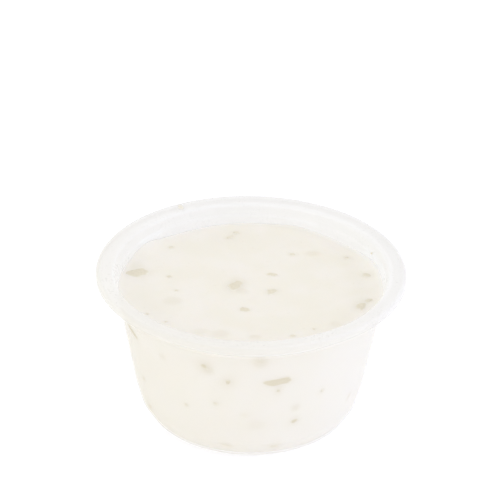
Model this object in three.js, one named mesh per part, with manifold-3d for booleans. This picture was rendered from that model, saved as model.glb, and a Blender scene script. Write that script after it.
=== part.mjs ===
// Dish of blue cheese dip: a round portion cup of milky plastic with a rolled rim,
// filled almost to the brim with dip that has crumbs of cheese in it.
// Millimetres, +Z up, origin at the middle of the underside. The front is -Y.

import * as THREE from 'three';
import * as BufferGeometryUtils from 'three/addons/utils/BufferGeometryUtils.js';
import Module from 'manifold-3d';

// Driving dimensions of the cup
const rimDiameter = 74.5;
const cupHeight = 38.1;
const wallTopRadius = 32.9;
const wallTopHeight = 36;
const wallLean = 11.3;
const wallThickness = 0.55;
const creaseRadius = 26.2;
const creaseHeight = 4.5;
const tuckLean = 15.5;
const heelLean = 33;
const footInnerRadius = 20.3;
const recessDepth = 0.5;
const recessSlant = 0.4;
const floorHeight = 1.2;

// The rim: a flange that rises a little outward, then rolls over into a short skirt
const beadRadius = 1;
const flangeSlope = 6.7;
const flangeThickness = 0.65;
const lipHeight = 36.25;

// How much each edge of the cup is rounded, as radii
const footRound = 2.6;
const creaseRound = 2.5;
const tuckRound = 30;
const rimCornerRound = 0.45;
const lipRound = 0.22;
const mouthRound = 0.9;
const innerFootRound = 2;

// Driving dimensions of the dip
const fillLevel = 33;
const wallGap = 0.3;
const surfaceEdgeRound = 0.35;
const swellHeight = 0.12;
const lowPlace = { bearing: 143, spread: 12, depth: 0.45, reach: 5 };

// Fineness of the facets
const sidesAround = 64;
const arcStep = THREE.MathUtils.degToRad(26);
const surfaceRings = [0.95, 0.8, 0.6, 0.4, 0.2];
const mergeTolerance = 1e-4;

// Crumbs that break the surface: place, length, width, turn from +X in degrees,
// and how far they stand above the dip
const crumbs = [
  { x: -27.5, y: 6.5, long: 5, wide: 3.2, turn: 15, rise: 0.45 },
  { x: -3.9, y: 1.3, long: 4.6, wide: 3.4, turn: 70, rise: 0.5 },
  { x: 26.5, y: -7.6, long: 3.6, wide: 2.4, turn: 80, rise: 0.45 },
  { x: 28.2, y: -4.9, long: 1.8, wide: 1.3, turn: 20, rise: 0.3 },
  { x: 5, y: -1.2, long: 2.3, wide: 1.8, turn: 35, rise: 0.35 },
  { x: 4.8, y: 6.7, long: 2.3, wide: 1.2, turn: -10, rise: 0.3 },
  { x: -1.3, y: -10.1, long: 2.2, wide: 1.8, turn: 0, rise: 0.35 },
  { x: 28.1, y: 7.7, long: 1.9, wide: 1.4, turn: -20, rise: 0.3 },
  { x: 14.8, y: 17.4, long: 3.6, wide: 1.8, turn: 0, rise: 0.25 },
  { x: -5.1, y: 24.8, long: 2, wide: 1.2, turn: 30, rise: 0.25 },
  { x: -3.9, y: 27.1, long: 1.9, wide: 1.1, turn: 30, rise: 0.25 },
  { x: -18.6, y: -6.9, long: 4.2, wide: 3.4, turn: 0, rise: 0.25 },
  { x: -8, y: -21.8, long: 4, wide: 2.6, turn: 5, rise: 0.25 },
  { x: 1.2, y: -23.4, long: 2.4, wide: 1.7, turn: 0, rise: 0.3 },
  { x: 20.3, y: -16.3, long: 2.5, wide: 1.7, turn: 25, rise: 0.3 },
];
const crumbLumpiness = 0.14;

// A straight stretch of the cup's side in section, moved inward by an inset
function sideLine(radius, height, leanDegrees, inset) {
  const lean = THREE.MathUtils.degToRad(leanDegrees);
  const slope = Math.tan(lean);
  const start = radius - height * slope - inset / Math.cos(lean);
  return { start, slope, at: (z) => start + z * slope };
}

// From the rim down: the wall, the lower wall that tucks in, and the heel
const wallLine = (inset) => sideLine(wallTopRadius, wallTopHeight, wallLean, inset);
const tuckLine = (inset) => sideLine(creaseRadius, creaseHeight, tuckLean, inset);
const heelLine = (inset) => sideLine(creaseRadius, creaseHeight, heelLean, inset);

// The rounded corner where two stretches of the side meet
function corner(upper, lower, round) {
  const height = (lower.start - upper.start) / (upper.slope - lower.slope);
  return [upper.at(height), height, round];
}

const creaseCorner = (inset) => corner(tuckLine(inset), heelLine(inset), creaseRound);
const tuckCorner = (inset) => corner(wallLine(inset), tuckLine(inset), tuckRound);

// Turns corners, each [radius, height, rounding], into the points of an outline with round corners
function roundedOutline(corners) {
  const outline = [];
  corners.forEach(([radius, height, round], i) => {
    const point = new THREE.Vector2(radius, height);
    if (!round) {
      outline.push(point);
      return;
    }
    const back = new THREE.Vector2(...corners[i - 1]).sub(point).normalize();
    const ahead = new THREE.Vector2(...corners[i + 1]).sub(point).normalize();
    const halfAngle = Math.acos(back.dot(ahead)) / 2;
    const tangentLength = round / Math.tan(halfAngle);
    const inward = back.clone().add(ahead).normalize();
    const centre = point.clone().addScaledVector(inward, round / Math.sin(halfAngle));
    const from = point.clone().addScaledVector(back, tangentLength).sub(centre).angle();
    const to = point.clone().addScaledVector(ahead, tangentLength).sub(centre).angle();
    const turn = THREE.MathUtils.euclideanModulo(to - from + Math.PI, 2 * Math.PI) - Math.PI;
    const steps = Math.max(2, Math.ceil(Math.abs(turn) / arcStep));
    for (let k = 0; k <= steps; k += 1) {
      const angle = from + (turn * k) / steps;
      const spoke = new THREE.Vector2(Math.cos(angle), Math.sin(angle));
      outline.push(centre.clone().addScaledVector(spoke, round));
    }
  });
  return outline;
}

// Merges the shared points of a shape and drops triangles that have no area
function closedSurface(geometry) {
  const bare = geometry.clone();
  bare.deleteAttribute('normal');
  bare.deleteAttribute('uv');
  const merged = BufferGeometryUtils.mergeVertices(bare, mergeTolerance);
  const corners = merged.index.array;
  const kept = [];
  for (let i = 0; i < corners.length; i += 3) {
    const [a, b, c] = corners.slice(i, i + 3);
    if (a !== b && b !== c && c !== a) {
      kept.push(a, b, c);
    }
  }
  merged.setIndex(kept);
  return merged;
}

// Turns a round outline that starts and ends on the axis into a solid, with +Z up
function turned(corners) {
  const lathe = new THREE.LatheGeometry(roundedOutline(corners), sidesAround);
  lathe.rotateX(Math.PI / 2);
  return closedSurface(lathe);
}

function makeCup() {
  const outside = wallLine(0);
  const inside = wallLine(wallThickness);
  const rimRadius = rimDiameter / 2;
  const slope = THREE.MathUtils.degToRad(flangeSlope);
  const beadTop = cupHeight - beadRadius + beadRadius / Math.cos(slope);
  const flangeAt = (radius) => beadTop + (radius - rimRadius + beadRadius) * Math.tan(slope);
  const underflangeAt = (radius) => flangeAt(radius) - flangeThickness / Math.cos(slope);
  const skirtInnerRadius = rimRadius - flangeThickness;
  const mouthRadius = inside.at(flangeAt(wallTopRadius));
  const shoulderRadius = outside.at(underflangeAt(wallTopRadius));
  return turned([
    [0, recessDepth],
    [footInnerRadius - recessSlant, recessDepth],
    [footInnerRadius, 0],
    [heelLine(0).start, 0, footRound],
    creaseCorner(0),
    tuckCorner(0),
    [shoulderRadius, underflangeAt(shoulderRadius), rimCornerRound],
    [skirtInnerRadius, underflangeAt(skirtInnerRadius), rimCornerRound],
    [skirtInnerRadius, lipHeight],
    [rimRadius, lipHeight, lipRound],
    [rimRadius, flangeAt(rimRadius), beadRadius],
    [mouthRadius, flangeAt(mouthRadius), mouthRound],
    tuckCorner(wallThickness),
    creaseCorner(wallThickness),
    [heelLine(wallThickness).at(floorHeight), floorHeight, innerFootRound],
    [0, floorHeight],
  ]);
}

// Height of the dip's surface above its level: slow swells, and a low place by the wall
function surfaceSwell(x, y) {
  const swells = Math.sin(0.16 * x + 0.8) * Math.cos(0.19 * y - 0.4) + 0.5 * Math.sin(0.27 * y + 0.11 * x);
  const bearing = THREE.MathUtils.radToDeg(Math.atan2(y, x));
  const fromLow = THREE.MathUtils.euclideanModulo(bearing - lowPlace.bearing + 180, 360) - 180;
  const fromWall = wallLine(wallThickness).at(fillLevel) - Math.hypot(x, y);
  const low = Math.exp(-((fromLow / lowPlace.spread) ** 2) - (fromWall / lowPlace.reach) ** 2);
  return swellHeight * swells - lowPlace.depth * low;
}

function dipCore() {
  const inset = wallThickness + wallGap;
  const surfaceRadius = wallLine(inset).at(fillLevel);
  const bottom = floorHeight + wallGap;
  const core = turned([
    [0, bottom],
    [heelLine(inset).at(bottom), bottom, innerFootRound - wallGap],
    creaseCorner(inset),
    tuckCorner(inset),
    [surfaceRadius, fillLevel, surfaceEdgeRound],
    ...surfaceRings.map((share) => [surfaceRadius * share, fillLevel]),
    [0, fillLevel],
  ]);
  const points = core.attributes.position;
  for (let i = 0; i < points.count; i += 1) {
    if (points.getZ(i) > fillLevel / 2) {
      points.setZ(i, points.getZ(i) + surfaceSwell(points.getX(i), points.getY(i)));
    }
  }
  return core;
}

// A lumpy flattened crumb, half sunk in the surface
function crumbShape({ x, y, long, wide, turn, rise }, order) {
  const crumb = closedSurface(new THREE.IcosahedronGeometry(1, 1));
  const points = crumb.attributes.position;
  for (let i = 0; i < points.count; i += 1) {
    const point = new THREE.Vector3().fromBufferAttribute(points, i);
    const lump = Math.sin(3.1 * point.x + order) * Math.cos(2.7 * point.y - 2 * order);
    point.multiplyScalar(1 + crumbLumpiness * lump);
    points.setXYZ(i, point.x, point.y, point.z);
  }
  crumb.scale(long / 2, wide / 2, rise);
  crumb.rotateZ(THREE.MathUtils.degToRad(turn));
  crumb.translate(x, y, fillLevel + surfaceSwell(x, y));
  return crumb;
}

const wasm = await Module();
wasm.setup();

function toSolid(geometry) {
  return new wasm.Manifold(new wasm.Mesh({
    numProp: 3,
    vertProperties: new Float32Array(geometry.attributes.position.array),
    triVerts: new Uint32Array(geometry.index.array),
  }));
}

function toGeometry(solid) {
  const { vertProperties, triVerts } = solid.getMesh();
  const geometry = new THREE.BufferGeometry();
  geometry.setAttribute('position', new THREE.BufferAttribute(vertProperties, 3));
  geometry.setIndex(new THREE.BufferAttribute(triVerts, 1));
  geometry.computeVertexNormals();
  return geometry;
}

function makeDip() {
  const solids = crumbs.map((crumb, order) => toSolid(crumbShape(crumb, order)));
  const whole = solids.reduce((dip, crumb) => dip.add(crumb), toSolid(dipCore()));
  return toGeometry(whole);
}

function named(name, geometry, material) {
  const mesh = new THREE.Mesh(geometry, material);
  mesh.name = name;
  return mesh;
}

const milkyPlastic = new THREE.MeshStandardMaterial({
  color: new THREE.Color().setRGB(245 / 255, 244 / 255, 243 / 255, THREE.SRGBColorSpace),
  roughness: 0.35,
  metalness: 0,
  transparent: true,
  opacity: 0.6,
});
const creamyDip = new THREE.MeshStandardMaterial({
  color: new THREE.Color().setRGB(243 / 255, 239 / 255, 228 / 255, THREE.SRGBColorSpace),
  roughness: 0.55,
  metalness: 0,
});

const dish = new THREE.Group();
dish.add(named('cup', makeCup(), milkyPlastic));
dish.add(named('dip', makeDip(), creamyDip));

export default dish;
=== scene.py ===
"""Dish of blue cheese dip.

A round portion cup of milky plastic, filled almost to the brim with cream-coloured dip that has
crumbs of cheese in it, on a plain pale floor in soft light. Metres, +Z up, the front is -Y.
"""

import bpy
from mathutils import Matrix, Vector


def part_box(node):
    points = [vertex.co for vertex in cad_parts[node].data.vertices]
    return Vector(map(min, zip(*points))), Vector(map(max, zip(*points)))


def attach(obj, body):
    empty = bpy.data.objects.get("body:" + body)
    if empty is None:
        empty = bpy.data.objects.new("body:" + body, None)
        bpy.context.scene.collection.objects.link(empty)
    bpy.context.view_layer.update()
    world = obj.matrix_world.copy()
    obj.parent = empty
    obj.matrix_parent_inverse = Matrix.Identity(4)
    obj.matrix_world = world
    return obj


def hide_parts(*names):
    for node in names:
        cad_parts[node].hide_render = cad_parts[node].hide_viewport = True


bl_info = {
    "name": "Dish of Blue Cheese Dip",
    "version": (1, 0, 0),
    "blender": (4, 5, 0),
    "location": "View3D > Sidebar > Dip Dish",
    "description": "Builds a portion cup of dip with crumbs of cheese, and a plain studio for it",
    "category": "Add Mesh",
}

import math
import random
from typing import NamedTuple

import bmesh
import bpy
from bpy.props import FloatProperty, FloatVectorProperty, IntProperty, PointerProperty
from mathutils import Matrix, Vector, noise

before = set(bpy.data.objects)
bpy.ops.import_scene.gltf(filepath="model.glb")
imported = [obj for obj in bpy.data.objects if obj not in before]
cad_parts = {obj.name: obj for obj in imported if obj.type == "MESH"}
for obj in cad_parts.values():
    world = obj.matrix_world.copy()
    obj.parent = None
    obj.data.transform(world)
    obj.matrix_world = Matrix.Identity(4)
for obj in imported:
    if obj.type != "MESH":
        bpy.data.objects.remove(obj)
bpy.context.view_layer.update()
CUP_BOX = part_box("cup")

MM = 0.001

# The cup's section, beside the sizes that the settings hold
FLANGE_REACH = 4.35 * MM
WALL_TOP_HEIGHT = 36 * MM
WALL_LEAN = math.radians(11.3)
CREASE_RADIUS = 26.2 * MM
CREASE_HEIGHT = 4.5 * MM
TUCK_LEAN = math.radians(15.5)
HEEL_LEAN = math.radians(33)
FOOT_INNER_RADIUS = 20.3 * MM
RECESS_DEPTH = 0.5 * MM
RECESS_SLANT = 0.4 * MM
FLOOR_HEIGHT = 1.2 * MM
BEAD_RADIUS = 1 * MM
FLANGE_SLOPE = math.radians(6.7)
FLANGE_THICKNESS = 0.65 * MM
LIP_HEIGHT = 36.25 * MM

# A low step in the wall's inner face, just under the mouth
STEP_HEIGHT = 34.75 * MM
STEP_RISE = 0.75 * MM
STEP_DEPTH = 0.22 * MM

# How much each edge of the cup is rounded, as radii
RECESS_ROUND = 0.15 * MM
FOOT_ROUND = 2.6 * MM
CREASE_ROUND = 2.5 * MM
TUCK_ROUND = 30 * MM
RIM_CORNER_ROUND = 0.45 * MM
LIP_ROUND = 0.22 * MM
MOUTH_ROUND = 0.9 * MM
STEP_ROUND = 0.3 * MM
INNER_FOOT_ROUND = 2 * MM

# Fineness of the turned meshes
ARC_STEP = math.radians(9)
LONGEST_STEP = 0.7 * MM
SIDES_AROUND = 300
SURFACE_RINGS = 84
SURFACE_RING_CROWDING = 1.4

# The dip: how far its side and its top edge reach into the wall, the depth of that edge, the slow
# swells of its surface, and how it climbs at the wall
WALL_BITE = 0.3 * MM
EDGE_BITE = 0.04 * MM
EDGE_DEPTH = 0.8 * MM
SWELL_HEIGHT = 0.12 * MM
CLING_RISE = 0.15 * MM
CLING_REACH = 0.7 * MM


class EdgePlace(NamedTuple):
    """A place where the dip stands higher or lower at the wall: its bearing from the front towards
    +X and its spread, both in degrees, and its rise in millimetres."""

    bearing: float
    spread: float
    rise: float


EDGE_PLACES = [EdgePlace(*row) for row in (
    (180, 60, -0.15),
    (-150, 12, -0.2),
    (-126, 9, 0.95),
    (160, 8, 0.38),
    (134, 9, -0.35),
    (110, 8, 1),
)]
EDGE_PLACE_REACH = 2.5 * MM


class SideLine(NamedTuple):
    """A straight stretch of the cup's side in section."""

    start: float
    slope: float

    def at(self, height):
        return self.start + height * self.slope


def side_line(radius, height, lean, inset):
    slope = math.tan(lean)
    return SideLine(radius - height * slope - inset / math.cos(lean), slope)


def corner(upper, lower, rounding):
    """The rounded corner where two stretches of the side meet."""
    height = (lower.start - upper.start) / (upper.slope - lower.slope)
    return (upper.at(height), height, rounding)


class Section:
    """The cup's side in section, from the rim down: the wall, the tuck below it and the heel.
    An inset moves a stretch inward, as the wall's thickness does."""

    def __init__(self, settings):
        self.rim_radius = settings.rim_diameter / 2
        self.height = settings.height
        self.thickness = settings.wall_thickness

    def wall(self, inset):
        return side_line(self.rim_radius - FLANGE_REACH, WALL_TOP_HEIGHT, WALL_LEAN, inset)

    def tuck(self, inset):
        return side_line(CREASE_RADIUS, CREASE_HEIGHT, TUCK_LEAN, inset)

    def heel(self, inset):
        return side_line(CREASE_RADIUS, CREASE_HEIGHT, HEEL_LEAN, inset)

    def crease_corner(self, inset):
        return corner(self.tuck(inset), self.heel(inset), CREASE_ROUND)

    def tuck_corner(self, inset):
        return corner(self.wall(inset), self.tuck(inset), TUCK_ROUND)

    def radius(self, height, inset):
        """The side's radius at a height, where its corners aren't rounded."""
        return min(line.at(height) for line in (self.wall(inset), self.tuck(inset), self.heel(inset)))

    def flange_top(self, radius):
        """Height of the flange's upper face, which rises a little outward to the bead."""
        bead_top = self.height - BEAD_RADIUS + BEAD_RADIUS / math.cos(FLANGE_SLOPE)
        return bead_top + (radius - self.rim_radius + BEAD_RADIUS) * math.tan(FLANGE_SLOPE)


def rounded(corners):
    """The points of an outline whose corners, each (radius, height, rounding), become arcs."""
    points = []
    for order, (radius, height, rounding) in enumerate(corners):
        point = Vector((radius, height))
        if not rounding:
            points.append(point)
            continue
        back = (Vector(corners[order - 1][:2]) - point).normalized()
        ahead = (Vector(corners[order + 1][:2]) - point).normalized()
        half_angle = back.angle(ahead) / 2
        to_centre = (back + ahead).normalized() * (rounding / math.sin(half_angle))
        spoke = back * (rounding / math.tan(half_angle)) - to_centre
        turn = math.pi - 2 * half_angle
        if back.cross(ahead) > 0:
            turn = -turn
        steps = max(2, math.ceil(abs(turn) / ARC_STEP))
        for step in range(steps + 1):
            points.append(point + to_centre + Matrix.Rotation(turn * step / steps, 2) @ spoke)
    return points


def stepped(points):
    """The outline with points put in, so that no step along it is long."""
    fine = [points[0]]
    for start, end in zip(points, points[1:]):
        steps = max(1, math.ceil((end - start).length / LONGEST_STEP))
        fine += [start.lerp(end, step / steps) for step in range(1, steps + 1)]
    return fine


def turned(outline):
    """A closed mesh in a bmesh, from an outline that starts and ends on the axis."""
    mesh = bmesh.new()
    first_pole = mesh.verts.new((0, 0, outline[0].y))
    last_pole = mesh.verts.new((0, 0, outline[-1].y))
    angles = [math.tau * side / SIDES_AROUND for side in range(SIDES_AROUND)]
    spokes = [(math.cos(angle), math.sin(angle)) for angle in angles]
    rings = []
    for point in outline[1:-1]:
        rings.append([mesh.verts.new((point.x * x, point.x * y, point.y)) for x, y in spokes])
    for side in range(SIDES_AROUND):
        after = (side + 1) % SIDES_AROUND
        mesh.faces.new((first_pole, rings[0][after], rings[0][side]))
        mesh.faces.new((last_pole, rings[-1][side], rings[-1][after]))
        for lower, upper in zip(rings, rings[1:]):
            mesh.faces.new((lower[side], lower[after], upper[after], upper[side]))
    return mesh


def surface_swell(x, y, section, fill_level):
    """Height of the dip's surface above its level: slow swells, and the high and low places that
    it has by the wall."""
    across, back = x / MM, y / MM
    swells = math.sin(0.16 * across + 0.8) * math.cos(0.19 * back - 0.4)
    swells += 0.5 * math.sin(0.27 * back + 0.11 * across)
    from_wall = (section.wall(section.thickness).at(fill_level) - math.hypot(x, y)) / EDGE_PLACE_REACH
    bearing = math.degrees(math.atan2(x, -y))
    at_wall = 0.0
    for place in EDGE_PLACES:
        gap = (bearing - place.bearing + 180) % 360 - 180
        at_wall += place.rise * MM * math.exp(-(gap / place.spread) ** 2)
    return SWELL_HEIGHT * swells + at_wall * math.exp(-from_wall ** 2)


def cling(from_wall):
    """How far the dip climbs at the wall that it clings to, at a distance from it."""
    return CLING_RISE * math.exp(-max(0.0, from_wall) / CLING_REACH)


class Crumb(NamedTuple):
    """A crumb that breaks the dip's surface, in millimetres: its place, length, width, turn from +X
    in degrees and rise above the dip, how much of the dip's colour veils it, and how far past its
    edge it stains the dip."""

    x: float
    y: float
    long: float
    wide: float
    turn: float
    rise: float
    veil: float
    stain: float


SURFACE_CRUMBS = [Crumb(*row) for row in (
    (-27.3, 6.4, 5.8, 3.5, 20, 0.25, 0, 1),
    (-3.7, 1.1, 4.7, 3, 72, 0.3, 0, 1.2),
    (26.4, -7.8, 3.6, 2.3, 80, 0.25, 0.1, 1),
    (28.2, -4.9, 2, 1.4, 40, 0.3, 0.3, 0.8),
    (5, -1.6, 2.8, 2, 40, 0.2, 0.05, 0.6),
    (5, 6.5, 2.7, 1.4, -14, 0.2, 0.1, 0.4),
    (-1.4, -10.2, 2.7, 2, 0, 0.2, 0, 0.4),
    (27.9, 7.3, 2.1, 1.6, -25, 0.2, 0.3, 0.8),
    (-5.3, 24.7, 2, 1.2, 40, 0.25, 0.35, 0.5),
    (-3.8, 27, 1.6, 1.1, 0, 0.25, 0.35, 0.5),
    (9.9, 17, 1.4, 1.2, 0, 0.2, 0.3, 0.6),
    (-19.6, 18.8, 1.3, 1, 20, 0.2, 0.2, 0.4),
    (-19.7, 5, 1.2, 1.1, 60, 0.2, 0.1, 0.3),
    (-17.9, -1.6, 0.9, 0.7, 0, 0.15, 0.2, 0.3),
    (10.1, -22.4, 1.4, 1, 10, 0.2, 0.3, 0.4),
    (15.1, -18.9, 0.8, 0.7, 0, 0.15, 0.3, 0.3),
    (23, 15.5, 1, 0.9, 0, 0.2, 0.4, 0.8),
    (-24.5, -13.3, 0.9, 0.7, 0, 0.15, 0.3, 0.3),
    (-20, -16.9, 0.8, 0.7, 0, 0.15, 0.3, 0.3),
)]


class SunkCrumb(NamedTuple):
    """A crumb just under the dip's surface, which shows only as a soft dark oval: its place, length
    and width in millimetres, its turn in degrees, and how dark it shows. On the cup's side the place
    is a bearing in degrees from the front towards +X, and a height."""

    x: float
    y: float
    long: float
    wide: float
    turn: float
    shade: float


SUNK_CRUMBS = [SunkCrumb(*row) for row in (
    (-27.8, 10, 4.6, 4, 10, 0.4),
    (-27, 2.6, 5.4, 2.4, 20, 0.12),
    (-1.9, -1.6, 3.4, 2.6, -50, 0.4),
    (-3.7, 1.1, 8.4, 5, 80, 0.2),
    (-18.6, -7, 4.6, 4.4, 0, 0.5),
    (14.9, 17.2, 3.8, 2.6, 0, 0.56),
    (-7, -21.9, 4.4, 3.4, 5, 0.55),
    (-11.4, -21, 4.4, 2.4, 0, 0.38),
    (1.2, -23.2, 3, 2.2, 0, 0.62),
    (20.1, -16.4, 2.8, 2.6, 25, 0.45),
    (-6.4, 24.4, 8, 7, 30, 0.12),
)]
WALL_SUNK_CRUMBS = [SunkCrumb(*row) for row in (
    (4.6, 31, 3.4, 3.2, 0, 0.35),
    (22.8, 15.7, 2.6, 2.3, 10, 0.7),
    (59.1, 12, 3, 1.2, 50, 0.75),
    (-42.1, 26.9, 2.4, 2.2, 0, 0.55),
    (4, 11.5, 5, 3.4, 0, 0.35),
    (-2, 14.5, 2.4, 2, 0, 0.4),
)]


class WallCrumb(NamedTuple):
    """A crumb that shows through the cup's side: its bearing in degrees from the front towards +X,
    then in millimetres its height, length and width, its turn up from level in degrees, its veil,
    and how far past its edge it stains the dip."""

    bearing: float
    height: float
    long: float
    wide: float
    turn: float
    veil: float
    stain: float


WALL_CRUMBS = [WallCrumb(*row) for row in (
    (13.1, 24.6, 6.5, 1.8, 5, 0, 1),
    (13.4, 21.8, 0.9, 0.9, 0, 0.2, 1),
    (-20.2, 28.3, 1.8, 1.3, -20, 0, 1.9),
    (-18.4, 27.6, 1.2, 0.7, -35, 0.6, 1.2),
    (-9.5, 24.5, 1.5, 1.3, 40, 0, 1.5),
    (4.6, 31.2, 1.3, 1, 0, 0.6, 1.6),
    (-64.2, 28.2, 4.9, 1.1, -14, 0, 0.9),
    (23.1, 11.5, 1.7, 1.1, 15, 0, 1),
    (36.4, 18.8, 0.9, 0.8, 0, 0.5, 0.6),
    (-31.6, 14.6, 1.1, 0.9, 20, 0.5, 0.5),
    (-15.9, 17.3, 1.2, 0.9, 0, 0.6, 0.5),
    (-62.1, 15.1, 1.2, 0.9, 0, 0.4, 0.6),
    (-62.6, 6.7, 1.7, 1.1, 30, 0.2, 1.4),
    (14, 3.9, 1.9, 0.9, 0, 0.5, 1),
    (-12.8, 4.3, 1, 0.7, 0, 0.5, 0.8),
    (-9.8, 4, 0.9, 0.6, 0, 0.5, 0.7),
)]

# The side that faces away has crumbs of the same kinds, spread by a seeded draw
BACK_CRUMB_COUNT = 16
BACK_BEARINGS = (80, 275)
BACK_SPREAD = (0.1, 0.9)
BACK_HEIGHTS = (6, 30)
BACK_LENGTHS = (0.8, 1.1, 1.5, 2.2, 3.4)
BACK_WIDTH_SHARES = (0.4, 0.8)
BACK_TURNS = (-35, 35)
BACK_VEILS = (0, 0.6)
BACK_STAINS = (0.5, 1.5)


def all_wall_crumbs(scene):
    draw = random.Random(scene.dish_crumbs.seed)
    crumbs = list(WALL_CRUMBS)
    for order in range(BACK_CRUMB_COUNT):
        share = (order + draw.uniform(*BACK_SPREAD)) / BACK_CRUMB_COUNT
        bearing = BACK_BEARINGS[0] + (BACK_BEARINGS[1] - BACK_BEARINGS[0]) * share
        long = draw.choice(BACK_LENGTHS)
        wide = long * draw.uniform(*BACK_WIDTH_SHARES)
        height, turn = draw.uniform(*BACK_HEIGHTS), draw.uniform(*BACK_TURNS)
        veil, stain = draw.uniform(*BACK_VEILS), draw.uniform(*BACK_STAINS)
        crumbs.append(WallCrumb(bearing, height, long, wide, turn, veil, stain))
    return crumbs


# The crumbs' forms. A crumb is sunk until only its cap stands out of what it lies in. Each size of
# lump has its weight.
WALL_CRUMB_RISE = 0.1
CRUMB_SINK = 0.55
LONG_CRUMB_BLUNTNESS = 0.1
CRUMB_LUMP_SIZES = ((0.9, 1.0), (0.45, 0.6), (0.22, 0.25))
WETTED_SHARE = 0.5

# How dark a crumb stains the dip close round it, how sharply the stain ends, and past how many of
# its half lengths it no longer counts
SURFACE_STAIN = 0.45
WALL_STAIN = 0.5
STAIN_SHARPNESS = 4
STAIN_END = 2

# The dip swells this much over a crumb just under its surface, unless the crumb is too deep to show
SUNK_CRUMB_RISE = 0.14 * MM
FAINT_SHADE = 0.25

# Crumbs longer than this, in millimetres, have a finer mesh
LARGE_CRUMB = 1.5
LARGE_CRUMB_DETAIL = 4
SMALL_CRUMB_DETAIL = 3

# Dried dip on the plastic, with length, width and rise in millimetres
RIM_SMEAR = {"bearing": math.radians(-150), "radius": 35.1 * MM, "veil": 0.85, "size": (1.7, 1.2, 0.06)}
WALL_SPECK = {"bearing": math.radians(116), "height": 35.2 * MM, "size": (0.6, 0.5, 0.12)}


def new_crumb_mesh():
    """An empty bmesh whose points can say how much of the dip's colour veils them."""
    mesh = bmesh.new()
    mesh.verts.layers.float.new("veil")
    return mesh


def add_crumb(mesh, size, turn, order, lumpiness, veil, settle):
    """Adds one lumpy crumb to a bmesh, of that length, width and rise in millimetres. settle turns a
    place in the crumb's own frame, along, across and out of what it lies on, into one in the dish."""
    detail = LARGE_CRUMB_DETAIL if size[0] > LARGE_CRUMB else SMALL_CRUMB_DETAIL
    points = bmesh.ops.create_icosphere(mesh, subdivisions=detail, radius=1)["verts"]
    veil_layer = mesh.verts.layers.float["veil"]
    spin = Matrix.Rotation(math.radians(turn), 3, "Z")
    waterline = math.sqrt(1 - CRUMB_SINK ** 2)
    half_sizes = (size[0] / 2 / waterline, size[1] / 2 / waterline, size[2] / (1 - CRUMB_SINK))
    bluntness = 1 - LONG_CRUMB_BLUNTNESS * min(3.0, size[0] / size[1] - 1)
    for point in points:
        direction = point.co.normalized()
        blunt = Vector([math.copysign(abs(part) ** bluntness, part) for part in direction])
        outward = Vector((direction.x, direction.y, 0)).normalized()
        lump = sum(weight * noise.noise(outward / reach + Vector((order, 3 * order, 0)))
                   for reach, weight in CRUMB_LUMP_SIZES)
        growth = 1 + lumpiness * lump
        grown = (blunt.x * growth, blunt.y * growth, blunt.z)
        offset = spin @ Vector([part * half * MM for part, half in zip(grown, half_sizes)])
        offset.z -= CRUMB_SINK * half_sizes[2] * MM
        point.co = settle(offset)
        bare = max(0.0, min(1.0, offset.z / (WETTED_SHARE * size[2] * MM)))
        point[veil_layer] = 1 - (1 - veil) * bare


class Stain(NamedTuple):
    """The oval where a crumb darkens the dip: its middle, the directions along and across it, how
    far it reaches in each, and its strength."""

    middle: Vector
    along: Vector
    across: Vector
    half_length: float
    half_width: float
    strength: float

    def at(self, place):
        offset = place - self.middle
        if offset.length > STAIN_END * max(self.half_length, self.half_width):
            return 0.0
        share_along = offset.dot(self.along) / self.half_length
        share_across = offset.dot(self.across) / self.half_width
        spread = share_along ** 2 + share_across ** 2
        return self.strength * math.exp(-spread ** (STAIN_SHARPNESS / 2))


def stain_at(place, stains):
    """How dark the dip is stained at a place, from the crumbs near it."""
    return min(1.0, sum(stain.at(place) for stain in stains))


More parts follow.
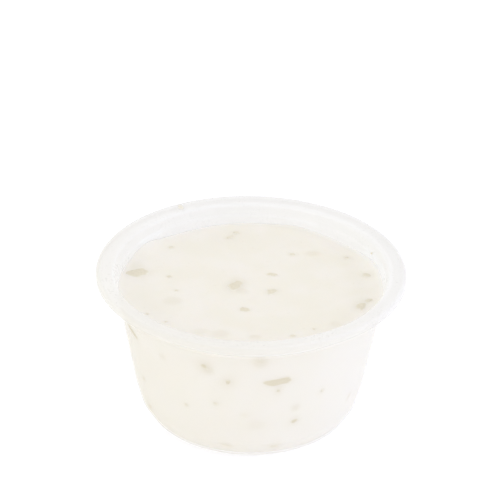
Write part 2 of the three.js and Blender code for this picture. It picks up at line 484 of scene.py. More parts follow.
class DishShape:
    """Where things lie in and on the dish, worked out from its settings."""

    def __init__(self, scene):
        self.section = Section(scene.dish_cup)
        self.fill_level = scene.dish_dip.fill_level
        self.scene = scene

    def on_surface(self, crumb, offset):
        """A place on the dip, that far along +X, +Y and +Z from a crumb's middle."""
        x, y = crumb.x * MM, crumb.y * MM
        height = self.fill_level + surface_swell(x, y, self.section, self.fill_level)
        return Vector((x + offset.x, y + offset.y, height + offset.z))

    def on_wall(self, bearing, height, offset, inset):
        """A place on the cup's side, that far along it, up it and out of it."""
        level = height + offset.y * math.cos(WALL_LEAN)
        radius = self.section.radius(level, inset) + offset.z
        angle = bearing + offset.x / radius
        return Vector((radius * math.sin(angle), -radius * math.cos(angle), level))

    def stains(self):
        """The stain round each crumb."""
        found = [self.surface_stain(crumb, crumb.stain, SURFACE_STAIN) for crumb in SURFACE_CRUMBS]
        found += [self.surface_stain(crumb, 0, crumb.shade) for crumb in SUNK_CRUMBS]
        for crumb in all_wall_crumbs(self.scene):
            found.append(self.wall_stain(crumb, crumb.bearing, crumb.height, crumb.stain, WALL_STAIN))
        for crumb in WALL_SUNK_CRUMBS:
            found.append(self.wall_stain(crumb, crumb.x, crumb.y, 0, crumb.shade))
        return found

    def swellings(self):
        """The low rise over each crumb that lies just under the surface."""
        return [self.surface_stain(crumb, 0, 1) for crumb in SUNK_CRUMBS if crumb.shade > FAINT_SHADE]

    def surface_stain(self, crumb, margin, strength):
        middle = self.on_surface(crumb, Vector())
        return self.stain(crumb, middle, Vector((1, 0, 0)), Vector((0, 1, 0)), margin, strength)

    def wall_stain(self, crumb, bearing, height, margin, strength):
        angle = math.radians(bearing)
        middle = self.on_wall(angle, height * MM, Vector(), self.section.thickness)
        level = Vector((math.cos(angle), math.sin(angle), 0))
        return self.stain(crumb, middle, level, Vector((0, 0, 1)), margin, strength)

    def stain(self, crumb, middle, level, up, margin, strength):
        cos_turn, sin_turn = math.cos(math.radians(crumb.turn)), math.sin(math.radians(crumb.turn))
        half_length = (crumb.long / 2 + margin) * MM
        half_width = (crumb.wide / 2 + margin) * MM
        return Stain(middle, level * cos_turn + up * sin_turn, up * cos_turn - level * sin_turn,
                     half_length, half_width, strength)


# Colours and directions for the shaders
UNLIT = (0, 0, 0, 1)
UPWARD = (0, 0, 1)
RIGHTWARD = (1, 0, 0)
BACKWARD = (0, 1, 0)
FRONT_LEFT = (-0.6, -0.8, 0)
LEVEL_PART = (1, 1, 0)


class Value:
    """A number worked out by a material's nodes, so that sums with it read as plain sums."""

    def __init__(self, finish, socket):
        self.finish = finish
        self.socket = socket

    def joined(self, operation, first, second):
        made = self.finish.node("ShaderNodeMath", {"operation": operation}, {0: first, 1: second})
        return Value(self.finish, made.outputs[0])

    def __add__(self, other):
        return self.joined("ADD", self, other)

    __radd__ = __add__

    def __sub__(self, other):
        return self.joined("SUBTRACT", self, other)

    def __rsub__(self, other):
        return self.joined("SUBTRACT", other, self)

    def __mul__(self, other):
        return self.joined("MULTIPLY", self, other)

    __rmul__ = __mul__


class NodeTree:
    """The nodes of a material or of the sky."""

    def __init__(self, owner):
        owner.use_nodes = True
        self.tree = owner.node_tree
        self.tree.nodes.clear()

    def node(self, kind, settings, sockets):
        """Adds a node. Its settings are set first, then the values and links of its sockets."""
        made = self.tree.nodes.new(kind)
        for name, setting in settings.items():
            setattr(made, name, setting)
        for name, value in sockets.items():
            source = getattr(value, "socket", value)
            if isinstance(source, bpy.types.NodeSocket):
                self.tree.links.new(source, made.inputs[name])
            else:
                made.inputs[name].default_value = source
        return made

    def mixed(self, share, first, second):
        """A colour between two others."""
        sockets = {0: share, 6: first, 7: second}
        return self.node("ShaderNodeMix", {"data_type": "RGBA"}, sockets).outputs[2]

    def vectors(self, operation, *inputs):
        """The results of vector maths: a vector at 0, and a number at "Value"."""
        sockets = dict(enumerate(inputs))
        return self.node("ShaderNodeVectorMath", {"operation": operation}, sockets).outputs


class Finish(NodeTree):
    """A material made of nodes, for the pieces that share it."""

    def __init__(self, name):
        self.material = bpy.data.materials.new(name)
        super().__init__(self.material)
        self.place = self.node("ShaderNodeTexCoord", {}, {}).outputs["Object"]

    def noise(self, size, detail, stretch=(1, 1, 1)):
        """Blotches of about that size in metres, from 0 to 1, longer where stretch is above 1."""
        mapped = self.vectors("MULTIPLY", self.place, [1 / part for part in stretch])[0]
        sockets = {"Vector": mapped, "Scale": 1 / size, "Detail": detail}
        return Value(self, self.node("ShaderNodeTexNoise", {}, sockets).outputs["Fac"])

    def attribute(self, name):
        """A number that each point of the mesh has, by its name."""
        made = self.node("ShaderNodeAttribute", {"attribute_name": name}, {})
        return Value(self, made.outputs["Fac"])

    def stepped(self, value, low, high):
        """0 below low, 1 above high, and a smooth rise between."""
        settings = {"interpolation_type": "SMOOTHSTEP"}
        sockets = {"Value": value, "From Min": low, "From Max": high}
        return Value(self, self.node("ShaderNodeMapRange", settings, sockets).outputs["Result"])

    def along(self, direction):
        """How far a place lies from the dish's origin in a direction."""
        return Value(self, self.vectors("DOT_PRODUCT", self.place, direction)["Value"])

    def radius(self):
        """Distance from the dish's axis."""
        flat = self.vectors("MULTIPLY", self.place, LEVEL_PART)[0]
        return Value(self, self.vectors("LENGTH", flat)["Value"])

    def bumped(self, height, depth):
        """A normal from a height from 0 to 1 that is that deep in metres."""
        sockets = {"Height": height, "Distance": depth, "Strength": 1.0}
        return self.node("ShaderNodeBump", {}, sockets).outputs[0]

    def surface(self, sockets):
        """Ends the material in one Principled shader with these socket values and links."""
        shader = self.node("ShaderNodeBsdfPrincipled", {}, sockets)
        self.node("ShaderNodeOutputMaterial", {}, {"Surface": shader.outputs[0]})
        return self.material


# Where each mask of the plastic rises from 0 to 1: along a direction, in height or in radius
FRONT_LEFT_TINT_REACH = (-20 * MM, 36 * MM)
BEHIND_FRONT = (-28 * MM, -10 * MM)
MIDDLE_TO_BACK = (-5 * MM, 10 * MM)
BACK_REACH = (12 * MM, 30 * MM)
INNER_RIGHT_REACH = (-8 * MM, 12 * MM)
FRONT_RIGHT_REACH = (4 * MM, 20 * MM)
WATERLINE = (-0.25 * MM, 0.15 * MM)
MOUTH_HEIGHTS = (WALL_TOP_HEIGHT + 0.6 * MM, WALL_TOP_HEIGHT + 1.8 * MM)
FOOT_HEIGHTS = (0.2 * MM, 2 * MM)
PAST_WALL_RADII = (33.6 * MM, 34.4 * MM)
BEAD_RADII = (35.9 * MM, 36.5 * MM)
SKIRT_RADII = (36.8 * MM, 37.1 * MM)

# The same across the wall, from its outer face outward
OUTER_FACE = (-0.4 * MM, -0.1 * MM)
PAST_OUTER_FACE = (0.3 * MM, 1 * MM)

# At the back, where the dip's edge is lower in places, the plastic is dry this far below its level
BACK_DRY_DEPTH = 0.6 * MM

# How much painted daylight makes the plastic paler, and what the rim's bead and skirt take off that
INNER_RIGHT_LIFT = 0.65
FRONT_LIFT = 0.4
FRONT_RIGHT_LIFT = 0.25
BACK_LIFT = 0.45
BACK_BEAD_LOSS = 0.35
SKIRT_LOSS = 0.9
FRONT_GLOW_LOSS = 0.5


class PaintedWallHighlight(NamedTuple):
    """A painted highlight: a pale band of glow where the wall's inner face would catch the light. Its
    bearing from the front towards +X and half its spread in degrees, its foot and top in millimetres,
    and its strength."""

    bearing: float
    spread: float
    foot: float
    top: float
    strength: float


PAINTED_WALL_HIGHLIGHTS = [PaintedWallHighlight(*row) for row in (
    (-130, 9, 34, 35.6, 0.45),
    (158, 9, 34, 35.6, 0.25),
    (108, 17, 33.4, 36, 0.4),
)]
HIGHLIGHT_RADIUS = 32.4 * MM
HIGHLIGHT_EDGE = 0.5 * MM
HIGHLIGHT_END_SHARE = 0.7


def painted_wall_highlight(finish, highlight, height, radius):
    """How strongly a painted highlight shows at a place, fading out at its ends."""
    bearing = math.radians(highlight.bearing)
    end = math.cos(math.radians(highlight.spread))
    past_end = finish.along((math.sin(bearing), -math.cos(bearing), 0)) - end * radius
    between_ends = finish.stepped(past_end, 0, HIGHLIGHT_END_SHARE * (1 - end) * HIGHLIGHT_RADIUS)
    foot, top = highlight.foot * MM, highlight.top * MM
    above_foot = finish.stepped(height, foot, foot + HIGHLIGHT_EDGE)
    below_top = 1 - finish.stepped(height, top - HIGHLIGHT_EDGE, top)
    return highlight.strength * between_ends * above_foot * below_top


def daylight(finish, dry, below_mouth, at_front, radius):
    """How much paler the plastic is painted where daylight falls on it: painted light inside the wall
    on the right, and on the rim at the front and the back."""
    rightward = finish.along(RIGHTWARD)
    at_back = finish.stepped(finish.along(BACKWARD), *BACK_REACH)
    inside = 1 - finish.stepped(radius, *PAST_WALL_RADII)
    inside_right = INNER_RIGHT_LIFT * dry * inside * finish.stepped(rightward, *INNER_RIGHT_REACH)
    front = FRONT_LIFT + FRONT_RIGHT_LIFT * finish.stepped(rightward, *FRONT_RIGHT_REACH)
    off_skirt = 1 - SKIRT_LOSS * finish.stepped(radius, *SKIRT_RADII)
    back = BACK_LIFT - BACK_BEAD_LOSS * finish.stepped(radius, *BEAD_RADII)
    return inside_right + (1 - below_mouth) * (at_front * off_skirt * front + at_back * back)


def milky_plastic(settings, fill_level, outer_start):
    """The plastic looks clearer where the dip wets it, below the dip's level. The thin wall above
    that level lets light through from outside, given here as a painted glow, with painted highlights on
    its inner face."""
    finish = Finish("milky_plastic")
    streaks = finish.noise(3 * MM, 3, (1, 1, 5))
    scuffs = finish.noise(0.7 * MM, 4)
    clouds = finish.noise(11 * MM, 2)
    height = finish.along(UPWARD)
    backward = finish.along(BACKWARD)
    radius = finish.radius()
    above_dip = height - fill_level + BACK_DRY_DEPTH * finish.stepped(backward, *MIDDLE_TO_BACK)
    dry = finish.stepped(above_dip, *WATERLINE)
    below_mouth = 1 - finish.stepped(height, *MOUTH_HEIGHTS)
    at_front = 1 - finish.stepped(backward, *BEHIND_FRONT)
    past_wall = radius - math.tan(WALL_LEAN) * height - outer_start
    outer_face = finish.stepped(past_wall, *OUTER_FACE) - finish.stepped(past_wall, *PAST_OUTER_FACE)
    # Painted light: a glow on the dry outer face of the wall below the mouth, weaker at the front, and
    # the painted highlights on the inner face
    glow = dry * below_mouth * outer_face * (1 - FRONT_GLOW_LOSS * at_front)
    for highlight in PAINTED_WALL_HIGHLIGHTS:
        glow += painted_wall_highlight(finish, highlight, height, radius)
    lit_wall = finish.mixed(glow, UNLIT, settings.wall_glow_and_highlights)
    # Painted light: the foot's rounded edge glows, for the light it takes up from the table
    at_foot = 1 - finish.stepped(height, *FOOT_HEIGHTS)
    bare = finish.mixed(clouds, settings.colour, settings.cloud_colour)
    # The plastic is tinted cream towards the front left
    on_front_left = finish.stepped(finish.along(FRONT_LEFT), *FRONT_LEFT_TINT_REACH)
    tinted = finish.mixed(on_front_left, bare, settings.front_left_tint)
    # Painted light: the plastic is painted paler where daylight would fall on it
    paler = daylight(finish, dry, below_mouth, at_front, radius)
    milkiness = settings.wet_milkiness + (settings.milkiness - settings.wet_milkiness) * dry
    return finish.surface({
        "Base Color": finish.mixed(paler, tinted, settings.painted_lit_colour),
        "Roughness": 0.2 + 0.12 * scuffs + 0.06 * clouds,
        "Alpha": milkiness * (0.96 + 0.08 * clouds),
        "Emission Color": finish.mixed(at_foot, lit_wall, settings.foot_glow),
        "Emission Strength": 1.0,
        "Normal": finish.bumped(0.7 * streaks + 0.3 * scuffs, 0.008 * MM),
        "IOR": 1.49,
        "Specular IOR Level": 0.3,
    })


# Where each mask of the dip rises from 0 to 1: in depth, to the right, and in the tones of noise.
# The last two rise over this width up to the dip's edge.
SIDE_DEPTHS = (0.8 * MM, 1.2 * MM)
RIGHT_REACH = (0, 28 * MM)
SIDE_RIGHT_REACH = (-4 * MM, 24 * MM)
PATCH_TONES = (0.35, 0.7)
FLECK_TONES = (0.62, 0.8)
LIT_EDGE_WIDTH = 7 * MM
THIN_EDGE_WIDTH = 1.6 * MM

# How strongly the dip is painted paler with painted haze and given painted light, and how much more of
# each there is on the right, where the light falls
SIDE_PAINTED_HAZE = 0.3
SIDE_RIGHT_PAINTED_HAZE = 0.3
EDGE_PAINTED_HAZE = 0.2
EDGE_RIGHT_PAINTED_HAZE = 0.25
EDGE_LIGHT = 0.25
EDGE_RIGHT_LIGHT = 0.2
THIN_EDGE_LIGHT = 0.12
FLECK_STRENGTH = 0.35
STAIN_STRENGTH = 0.85


def creamy_dip(settings, edge_radius):
    """The dip. Behind the wall it is painted paler, a painted haze of light, most of all on the right,
    where the light comes in.
    Close to the wall its surface is given painted light as well, for light that comes through the
    plastic."""
    finish = Finish("creamy_dip")
    patches = finish.noise(9 * MM, 2)
    grain = finish.noise(0.9 * MM, 3)
    relief = 0.75 * finish.noise(4.5 * MM, 2) + 0.25 * grain
    rightward = finish.along(RIGHTWARD)
    radius = finish.radius()
    at_surface = 1 - finish.stepped(settings.fill_level - finish.along(UPWARD), *SIDE_DEPTHS)
    on_right = finish.stepped(rightward, *RIGHT_REACH)
    near_wall = finish.stepped(radius, edge_radius - LIT_EDGE_WIDTH, edge_radius)
    at_wall = finish.stepped(radius, edge_radius - THIN_EDGE_WIDTH, edge_radius)
    # Painted light: the dip is painted paler behind the wall and by the wall at its edge, more on the
    # right
    side_painted_haze = SIDE_PAINTED_HAZE + SIDE_RIGHT_PAINTED_HAZE * finish.stepped(rightward, *SIDE_RIGHT_REACH)
    edge_painted_haze = at_wall * (EDGE_PAINTED_HAZE + EDGE_RIGHT_PAINTED_HAZE * on_right)
    painted_haze = (1 - at_surface) * side_painted_haze + at_surface * edge_painted_haze
    # Painted light: a glow on the dip's surface near the wall, stronger on the right
    edge_light = near_wall * (EDGE_LIGHT + EDGE_RIGHT_LIGHT * on_right) + THIN_EDGE_LIGHT * at_wall
    bare = finish.mixed(finish.stepped(patches, *PATCH_TONES), settings.colour, settings.patch_colour)
    with_painted_haze = finish.mixed(painted_haze, bare, settings.painted_haze_colour)
    flecks = FLECK_STRENGTH * finish.stepped(grain, *FLECK_TONES)
    flecked = finish.mixed(flecks, with_painted_haze, settings.stain_colour)
    stain = STAIN_STRENGTH * finish.attribute("stain")
    return finish.surface({
        "Base Color": finish.mixed(stain, flecked, settings.stain_colour),
        "Emission Color": finish.mixed(at_surface * edge_light, UNLIT, settings.edge_glow),
        "Emission Strength": 1.0,
        "Roughness": 0.42 + 0.16 * grain,
        "Normal": finish.bumped(relief, 0.09 * MM),
        "IOR": 1.42,
        "Specular IOR Level": 0.35,
        "Subsurface Weight": 0.12,
        "Subsurface Radius": (1.0, 0.8, 0.5),
        "Subsurface Scale": 1.5 * MM,
    })


CRUMB_TONES = (0.3, 0.75)
CRUMB_SHADE = 0.94


def shaded(colour, share):
    """A colour that gives back only that share of the light."""
    return [share * part for part in colour[:3]] + [1.0]


def tan_crumb(name, colour, scene):
    """A mottled crumb, veiled with the dip's colour where it is wetted."""
    finish = Finish(name)
    mottle = finish.noise(0.5 * MM, 3)
    crumb = finish.mixed(finish.stepped(mottle, *CRUMB_TONES), shaded(colour, CRUMB_SHADE), colour)
    return finish.surface({
        "Base Color": finish.mixed(finish.attribute("veil"), crumb, scene.dish_dip.colour),
        "Roughness": 0.5 + 0.2 * mottle,
        "Normal": finish.bumped(mottle, 0.03 * MM),
        "IOR": 1.42,
    })


def linked(name, data):
    """Puts an object with that data into the scene."""
    made = bpy.data.objects.new(name, data)
    bpy.context.scene.collection.objects.link(made)
    return made


def mesh_object(name, mesh, material):
    """Makes an object from a bmesh and a material."""
    data = bpy.data.meshes.new(name)
    mesh.to_mesh(data)
    mesh.free()
    data.materials.append(material)
    return linked(name, data)


def finished_piece(name, mesh, material):
    """Makes a smooth piece that rides on the dish and takes its finish from a slot."""
    bmesh.ops.recalc_face_normals(mesh, faces=mesh.faces)
    piece = mesh_object(name, mesh, material)
    piece.data.shade_smooth()
    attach(piece, "root")
    return piece


def linear_light(level):
    """A level of a picture, from 0 to 255, as the linear light that materials use."""
    share = level / 255
    return share / 12.92 if share <= 0.04045 else ((share + 0.055) / 1.055) ** 2.4


def glow_setting(name, description, *light):
    """Light that a surface gives, in linear red, green and blue."""
    return FloatVectorProperty(name=name, description=description, default=(*light, 1),
                               size=4, min=0, max=1, subtype="COLOR")


def colour_setting(name, description, *shown):
    """A colour, given as a picture shows it."""
    return glow_setting(name, description, *map(linear_light, shown))


def length_setting(name, description, default, low, high):
    return FloatProperty(name=name, description=description, default=default, min=low, max=high,
                         subtype="DISTANCE", unit="LENGTH")


def level_setting(name, description, default, high=1, subtype="FACTOR", unit="NONE"):
    return FloatProperty(name=name, description=description, default=default, min=0, max=high,
                         subtype=subtype, unit=unit)


class DishCupSettings(bpy.types.PropertyGroup):
    rim_diameter: length_setting(
        "Rim diameter", "Width of the cup across its rolled rim",
        CUP_BOX[1].x - CUP_BOX[0].x, 60 * MM, 90 * MM)
    height: length_setting("Height", "Height of the cup at its bead", CUP_BOX[1].z, 37 * MM, 45 * MM)
    wall_thickness: length_setting(
        "Wall thickness", "Thickness of the plastic of the side", 0.55 * MM, 0.3 * MM, 0.8 * MM)
    unevenness: length_setting(
        "Unevenness", "How far the thin side strays inward from a true circle",
        0.07 * MM, 0, 0.5 * MM)
    colour: colour_setting("Plastic", "Colour of the milky plastic", 244, 242, 238)
    cloud_colour: colour_setting(
        "Clouds", "Colour of the plastic where it is a little thicker", 246, 244, 240)
    # Painted light: the colour that the plastic is painted where daylight falls on it most
    painted_lit_colour: colour_setting(
        "Lit plastic", "Colour of the plastic where the daylight falls on it most", 251, 249, 246)
    # A cream tint on the plastic towards the front left
    front_left_tint: colour_setting(
        "Film", "Colour of the plastic where a thin film of dip lies on it, at the front left",
        246, 243, 235)
    milkiness: level_setting(
        "Milkiness", "Share of what is behind one face of the plastic that it hides", 0.58)
    wet_milkiness: level_setting(
        "Milkiness where wet", "The same share where dip lies against the plastic", 0.23)
    # Painted light: the colour of the wall's glow and of its painted highlights
    wall_glow_and_highlights: glow_setting(
        "Light through the wall", "Light that the thin wall lets through from outside",
        0.06, 0.08, 0.11)
    # Painted light: the glow given to the foot's rounded edge
    foot_glow: glow_setting(
        "Light through the foot", "Light that the foot's rounded edge takes up from the table",
        0.09, 0.08, 0.06)


class DishDipSettings(bpy.types.PropertyGroup):
    fill_level: length_setting(
        "Fill level", "Height of the dip's surface", 33 * MM, 20 * MM, 35 * MM)
    colour: colour_setting("Dip", "Colour of the dip", 242, 237, 224)
    patch_colour: colour_setting(
        "Pale patches", "Colour of the dip in its paler patches", 244, 239, 229)
    # Painted light: the pale colour painted on the dip behind the wall and along its edge
    painted_haze_colour: colour_setting(
        "Haze", "Colour that the dip tends to behind the milky wall", 246, 244, 240)
    stain_colour: colour_setting("Stains", "Colour of the dip close round a crumb", 230, 223, 206)
    # Painted light: the glow painted on the dip's surface near the wall
    edge_glow: glow_setting(
        "Light at the edge", "Light that comes through the wall onto the dip's edge",
        0.11, 0.12, 0.16)


class DishCrumbSettings(bpy.types.PropertyGroup):
    colour: colour_setting(
        "Crumbs", "Colour of the crumbs that break the surface", 232, 224, 203)
    wall_colour: colour_setting(
        "Crumbs behind the wall", "Colour of the crumbs that show through the side", 226, 217, 191)
    lumpiness: level_setting("Lumpiness", "How uneven the crumbs are", 0.38)
    seed: IntProperty(
        name="Seed", description="Chooses where the crumbs lie on the side that faces away",
        default=5, min=0)


class DishStageSettings(bpy.types.PropertyGroup):
    floor_colour: colour_setting("Floor", "Colour of the plain floor", 215, 215, 215)
    floor_glow: level_setting(
        "Floor glow", "Light that the floor gives of its own, as a lit white table does", 0.43, 3)
    sky_strength: level_setting("Sky", "Brightness of the even light all round", 0.97, 3)
    key_power: level_setting(
        "Key light", "Power of the soft light on the right", 1.25, 100, "POWER", "POWER")
    fill_power: level_setting(
        "Fill light", "Power of the soft light in front on the left", 0.45, 100, "POWER", "POWER")
    camera_distance: length_setting(
        "Camera distance", "From the camera to the middle of the rim", 1.3, 0.3, 5)


class DISH_OT_cup(bpy.types.Operator):
    """Make the milky portion cup with its rolled rim"""

    bl_idname = "dish.cup"
    bl_label = "Portion Cup"

    def corners(self, section):
        """The cup's outline: its underside, outer side, rim, inner side and floor."""
        inset = section.thickness
        stepped_in = section.wall(inset - STEP_DEPTH)
        rim_radius = section.rim_radius
        skirt_radius = rim_radius - FLANGE_THICKNESS
        drop = FLANGE_THICKNESS / math.cos(FLANGE_SLOPE)
        top_at = section.flange_top
        mouth_top = top_at(rim_radius - FLANGE_REACH)
        mouth_radius = stepped_in.at(mouth_top)
        shoulder_radius = section.wall(0).at(mouth_top - drop)
        step_top = STEP_HEIGHT + STEP_RISE
        return [
            (0, RECESS_DEPTH, 0),
            (FOOT_INNER_RADIUS - RECESS_SLANT, RECESS_DEPTH, RECESS_ROUND),
            (FOOT_INNER_RADIUS, 0, RECESS_ROUND),
            (section.heel(0).start, 0, FOOT_ROUND),
            section.crease_corner(0),
            section.tuck_corner(0),
            (shoulder_radius, top_at(shoulder_radius) - drop, RIM_CORNER_ROUND),
            (skirt_radius, top_at(skirt_radius) - drop, RIM_CORNER_ROUND),
            (skirt_radius, LIP_HEIGHT, LIP_ROUND),
            (rim_radius, LIP_HEIGHT, LIP_ROUND),
            (rim_radius, top_at(rim_radius), BEAD_RADIUS),
            (mouth_radius, top_at(mouth_radius), MOUTH_ROUND),
            (stepped_in.at(step_top), step_top, STEP_ROUND),
            (section.wall(inset).at(STEP_HEIGHT), STEP_HEIGHT, STEP_ROUND),
            section.tuck_corner(inset),
            section.crease_corner(inset),
            (section.heel(inset).at(FLOOR_HEIGHT), FLOOR_HEIGHT, INNER_FOOT_ROUND),
            (0, FLOOR_HEIGHT, 0),
        ]

    def execute(self, context):
        settings = context.scene.dish_cup
        shape = DishShape(context.scene)
        section = shape.section
        mesh = turned(stepped(rounded(self.corners(section))))
        # The side strays from a true circle, most of all at the rim
        for point in mesh.verts:
            bearing = math.atan2(point.co.y, point.co.x)
            sway = 1 + 0.6 * math.cos(2 * bearing + 0.9) + 0.4 * math.cos(5 * bearing - 0.4)
            share = (point.co.z / section.height) ** 2
            narrowing = 1 - settings.unevenness * sway * share / section.rim_radius / 2
            point.co.x *= narrowing
            point.co.y *= narrowing
        material = milky_plastic(settings, shape.fill_level, section.wall(0).start)
        piece = finished_piece("portion_cup", mesh, material)
        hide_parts("cup")
        return {"FINISHED"}


class DISH_OT_dip(bpy.types.Operator):
    """Make the dip that fills the cup, up to its uneven surface"""

    bl_idname = "dish.dip"
    bl_label = "Dip"

    def corners(self, section, fill_level):
        """The dip's outline, which reaches a little way into the cup's wall."""
        inset = section.thickness - WALL_BITE
        bottom = FLOOR_HEIGHT - WALL_BITE
        edge_foot = fill_level - EDGE_DEPTH
        return [
            (0, bottom, 0),
            (section.heel(inset).at(bottom), bottom, INNER_FOOT_ROUND + WALL_BITE),
            section.crease_corner(inset),
            section.tuck_corner(inset),
            (section.wall(inset).at(edge_foot), edge_foot, 0),
            (section.wall(section.thickness - EDGE_BITE).at(fill_level), fill_level, 0),
        ]

    def execute(self, context):
        settings = context.scene.dish_dip
        shape = DishShape(context.scene)
        section = shape.section
        level = settings.fill_level
        side = stepped(rounded(self.corners(section, level)))
        edge_radius = side[-1].x
        for ring in range(1, SURFACE_RINGS + 1):
            share = (1 - ring / SURFACE_RINGS) ** SURFACE_RING_CROWDING
            side.append(Vector((edge_radius * math.sin(share * math.pi / 2), level)))
        mesh = turned(side)
        stain_layer = mesh.verts.layers.float.new("stain")
        stains = shape.stains()
        swellings = shape.swellings()
        wall = section.wall(section.thickness - EDGE_BITE)
        for point in mesh.verts:
            place = point.co
            if place.z > level - EDGE_DEPTH / 2:
                swell = surface_swell(place.x, place.y, section, level)
                rise = swell + cling(edge_radius - math.hypot(place.x, place.y))
                edge_rise = swell + cling(0)
                widening = wall.at(level + edge_rise) / edge_radius
                place.x *= widening
                place.y *= widening
                place.z += rise + SUNK_CRUMB_RISE * stain_at(place, swellings)
            point[stain_layer] = stain_at(place, stains)
        piece = finished_piece("dip_filling", mesh, creamy_dip(settings, edge_radius))
        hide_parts("dip")
        return {"FINISHED"}


class DISH_OT_surface_crumbs(bpy.types.Operator):
    """Make the crumbs of cheese that break the dip's surface"""

    bl_idname = "dish.surface_crumbs"
    bl_label = "Surface Crumbs"

    def execute(self, context):
        settings = context.scene.dish_crumbs
        shape = DishShape(context.scene)
        mesh = new_crumb_mesh()
        for order, crumb in enumerate(SURFACE_CRUMBS):
            size = (crumb.long, crumb.wide, crumb.rise)
            add_crumb(mesh, size, crumb.turn, order, settings.lumpiness, crumb.veil,
                      lambda offset, crumb=crumb: shape.on_surface(crumb, offset))
        material = tan_crumb("cheese_crumb", settings.colour, context.scene)
        piece = finished_piece("surface_crumbs", mesh, material)
        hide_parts("dip")
        return {"FINISHED"}


class DISH_OT_wall_crumbs(bpy.types.Operator):
    """Make the crumbs of cheese that show through the cup's side"""

    bl_idname = "dish.wall_crumbs"
    bl_label = "Crumbs Behind the Wall"

    def execute(self, context):
        settings = context.scene.dish_crumbs
        shape = DishShape(context.scene)
        mesh = new_crumb_mesh()
        inset = shape.section.thickness - WALL_BITE
        for order, crumb in enumerate(all_wall_crumbs(context.scene)):
            size = (crumb.long, crumb.wide, WALL_CRUMB_RISE)
            place = (math.radians(crumb.bearing), crumb.height * MM)
            add_crumb(mesh, size, crumb.turn, order, settings.lumpiness, crumb.veil,
                      lambda offset, place=place: shape.on_wall(*place, offset, inset))
        material = tan_crumb("cheese_crumb_behind_wall", settings.wall_colour, context.scene)
        finished_piece("wall_crumbs", mesh, material)
        return {"FINISHED"}


class DISH_OT_smears(bpy.types.Operator):
    """Make the smear of dip on the rim and the speck on the inside of the wall"""

    bl_idname = "dish.smears"
    bl_label = "Smears"

    def execute(self, context):
        settings = context.scene.dish_crumbs
        shape = DishShape(context.scene)
        section = shape.section
        mesh = new_crumb_mesh()

        def on_flange(offset):
            bearing = RIM_SMEAR["bearing"]
            out = Vector((math.sin(bearing), -math.cos(bearing), 0))
            side = Vector((math.cos(bearing), math.sin(bearing), 0))
            place = out * (RIM_SMEAR["radius"] + offset.x) + side * offset.y
            place.z = section.flange_top(math.hypot(place.x, place.y)) + offset.z
            return place

        def on_inner_wall(offset):
            inward = Vector((offset.x, offset.y, -offset.z))
            return shape.on_wall(WALL_SPECK["bearing"], WALL_SPECK["height"], inward, section.thickness)

        add_crumb(mesh, RIM_SMEAR["size"], 0, 1, settings.lumpiness, RIM_SMEAR["veil"], on_flange)
        add_crumb(mesh, WALL_SPECK["size"], 0, 2, settings.lumpiness, 0, on_inner_wall)
        material = tan_crumb("dried_smear", settings.wall_colour, context.scene)
        finished_piece("dried_smears", mesh, material)
        return {"FINISHED"}


# The photograph that the camera matches, in pixels: its side, and where the rim's middle shows
PICTURE_SIDE = 500
RIM_MIDDLE_IN_PICTURE = (251.34, 271.24)
RIM_MIDDLE_HEIGHT = 37.64 * MM
CAMERA_PITCH = math.radians(29.444)
CAMERA_ROLL = math.radians(1.112)
CAMERA_LENS = 391.15
CAMERA_REACH = 20
SENSOR_WIDTH = 36

# The floor and the two square lights, in metres
FLOOR_RADIUS = 3.0
FLOOR_SIDES = 96
FLOOR_SHADE = 0.985
FLOOR_GLOW_COLOUR = (1.0, 1.01, 1.08, 1.0)
KEY_PLACE = Vector((1.15, -0.1, 0.62))
KEY_SIZE = 0.22
KEY_COLOUR = (0.94, 1.0, 1.12)
FILL_PLACE = Vector((-0.82, -0.72, 0.53))
FILL_SIZE = 0.15
FILL_COLOUR = (1.0, 1.0, 1.0)

# The sky is a little cooler on the right, where daylight comes in
SKY_LEFT = (1.0, 1.0, 0.93, 1.0)
SKY_RIGHT = (1.0, 1.01, 1.12, 1.0)


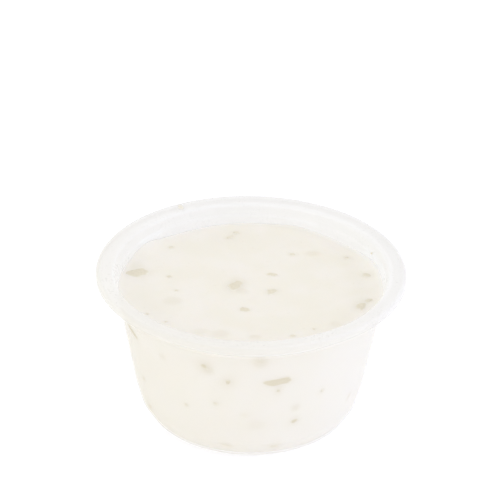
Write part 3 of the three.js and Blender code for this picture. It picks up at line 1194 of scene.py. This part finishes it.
class DISH_OT_stage(bpy.types.Operator):
    """Make the plain floor, the soft lights and the camera"""

    bl_idname = "dish.stage"
    bl_label = "Studio"

    def make_floor(self, settings):
        mesh = bmesh.new()
        bmesh.ops.create_circle(
            mesh, cap_ends=True, cap_tris=True, segments=FLOOR_SIDES, radius=FLOOR_RADIUS)
        finish = Finish("pale_floor")
        grain = finish.noise(20 * MM, 2)
        soft_white = shaded(settings.floor_colour, FLOOR_SHADE)
        material = finish.surface({
            "Base Color": finish.mixed(grain, settings.floor_colour, soft_white),
            "Roughness": 0.75 + 0.1 * grain,
            "Specular IOR Level": 0.1,
            "Emission Color": FLOOR_GLOW_COLOUR,
            "Emission Strength": settings.floor_glow,
        })
        mesh_object("studio_floor", mesh, material)

    def make_light(self, name, place, size, power, colour):
        lamp = bpy.data.lights.new(name, "AREA")
        lamp.color = colour
        lamp.shape = "SQUARE"
        lamp.size = size
        lamp.energy = power
        light = linked(name, lamp)
        light.location = place
        light.rotation_euler = (-place).to_track_quat("-Z", "Y").to_euler()

    def make_sky(self, settings):
        world = bpy.data.worlds.new("studio_sky")
        sky = NodeTree(world)
        direction = sky.node("ShaderNodeTexCoord", {}, {}).outputs["Generated"]
        to_right = sky.vectors("DOT_PRODUCT", direction, RIGHTWARD)["Value"]
        share = sky.node("ShaderNodeMapRange", {}, {"Value": to_right, "From Min": -1})
        tint = sky.mixed(share.outputs["Result"], SKY_LEFT, SKY_RIGHT)
        light = sky.node("ShaderNodeBackground", {}, {"Color": tint, "Strength": settings.sky_strength})
        sky.node("ShaderNodeOutputWorld", {}, {"Surface": light.outputs[0]})
        bpy.context.scene.world = world

    def make_camera(self, settings):
        """Places the camera so that the rim's middle shows where the photograph has it."""
        forward = Vector((0, math.cos(CAMERA_PITCH), -math.sin(CAMERA_PITCH)))
        right = Vector((1, 0, 0))
        up = right.cross(forward)
        cos_roll, sin_roll = math.cos(CAMERA_ROLL), math.sin(CAMERA_ROLL)
        tilted_right = cos_roll * right + sin_roll * up
        tilted_up = cos_roll * up - sin_roll * right
        metres_per_pixel = settings.camera_distance * SENSOR_WIDTH / CAMERA_LENS / PICTURE_SIDE
        across, down = [(part - PICTURE_SIDE / 2) * metres_per_pixel for part in RIM_MIDDLE_IN_PICTURE]
        from_camera = across * tilted_right - down * tilted_up + settings.camera_distance * forward
        data = bpy.data.cameras.new("photo_camera")
        data.sensor_width = SENSOR_WIDTH
        data.lens = CAMERA_LENS
        data.clip_end = CAMERA_REACH
        camera = linked("photo_camera", data)
        place = Vector((0, 0, RIM_MIDDLE_HEIGHT)) - from_camera
        axes = Matrix((tilted_right, tilted_up, -forward)).transposed()
        camera.matrix_world = Matrix.Translation(place) @ axes.to_4x4()
        bpy.context.scene.camera = camera

    def execute(self, context):
        settings = context.scene.dish_stage
        self.make_floor(settings)
        self.make_light("key_light", KEY_PLACE, KEY_SIZE, settings.key_power, KEY_COLOUR)
        self.make_light("fill_light", FILL_PLACE, FILL_SIZE, settings.fill_power, FILL_COLOUR)
        self.make_sky(settings)
        self.make_camera(settings)
        context.scene.view_settings.view_transform = "Standard"
        return {"FINISHED"}


class DISH_PT_panel(bpy.types.Panel):
    """Lists the settings and the operators that use them"""

    bl_idname = "DISH_PT_panel"
    bl_label = "Dish of Blue Cheese Dip"
    bl_space_type = "VIEW_3D"
    bl_region_type = "UI"
    bl_category = "Dip Dish"

    def draw(self, context):
        for title, group_name, operators in PANEL_SECTIONS:
            box = self.layout.box()
            box.label(text=title)
            group = getattr(context.scene, group_name)
            for name in group.__annotations__:
                box.prop(group, name)
            for operator in operators:
                box.operator(operator.bl_idname)


PANEL_SECTIONS = [
    ("Cup", "dish_cup", [DISH_OT_cup]),
    ("Dip", "dish_dip", [DISH_OT_dip]),
    ("Crumbs", "dish_crumbs", [DISH_OT_surface_crumbs, DISH_OT_wall_crumbs, DISH_OT_smears]),
    ("Studio", "dish_stage", [DISH_OT_stage]),
]
SETTINGS = {
    "dish_cup": DishCupSettings,
    "dish_dip": DishDipSettings,
    "dish_crumbs": DishCrumbSettings,
    "dish_stage": DishStageSettings,
}
CLASSES = [
    *SETTINGS.values(),
    *(operator for _, _, operators in PANEL_SECTIONS for operator in operators),
    DISH_PT_panel,
]


def register():
    for made in CLASSES:
        bpy.utils.register_class(made)
    for name, group in SETTINGS.items():
        setattr(bpy.types.Scene, name, PointerProperty(type=group))


def unregister():
    for name in SETTINGS:
        delattr(bpy.types.Scene, name)
    for made in reversed(CLASSES):
        bpy.utils.unregister_class(made)


def main():
    register()
    bpy.ops.dish.cup()
    bpy.ops.dish.dip()
    bpy.ops.dish.surface_crumbs()
    bpy.ops.dish.wall_crumbs()
    bpy.ops.dish.smears()
    bpy.ops.dish.stage()


if __name__ == "__main__":
    main()
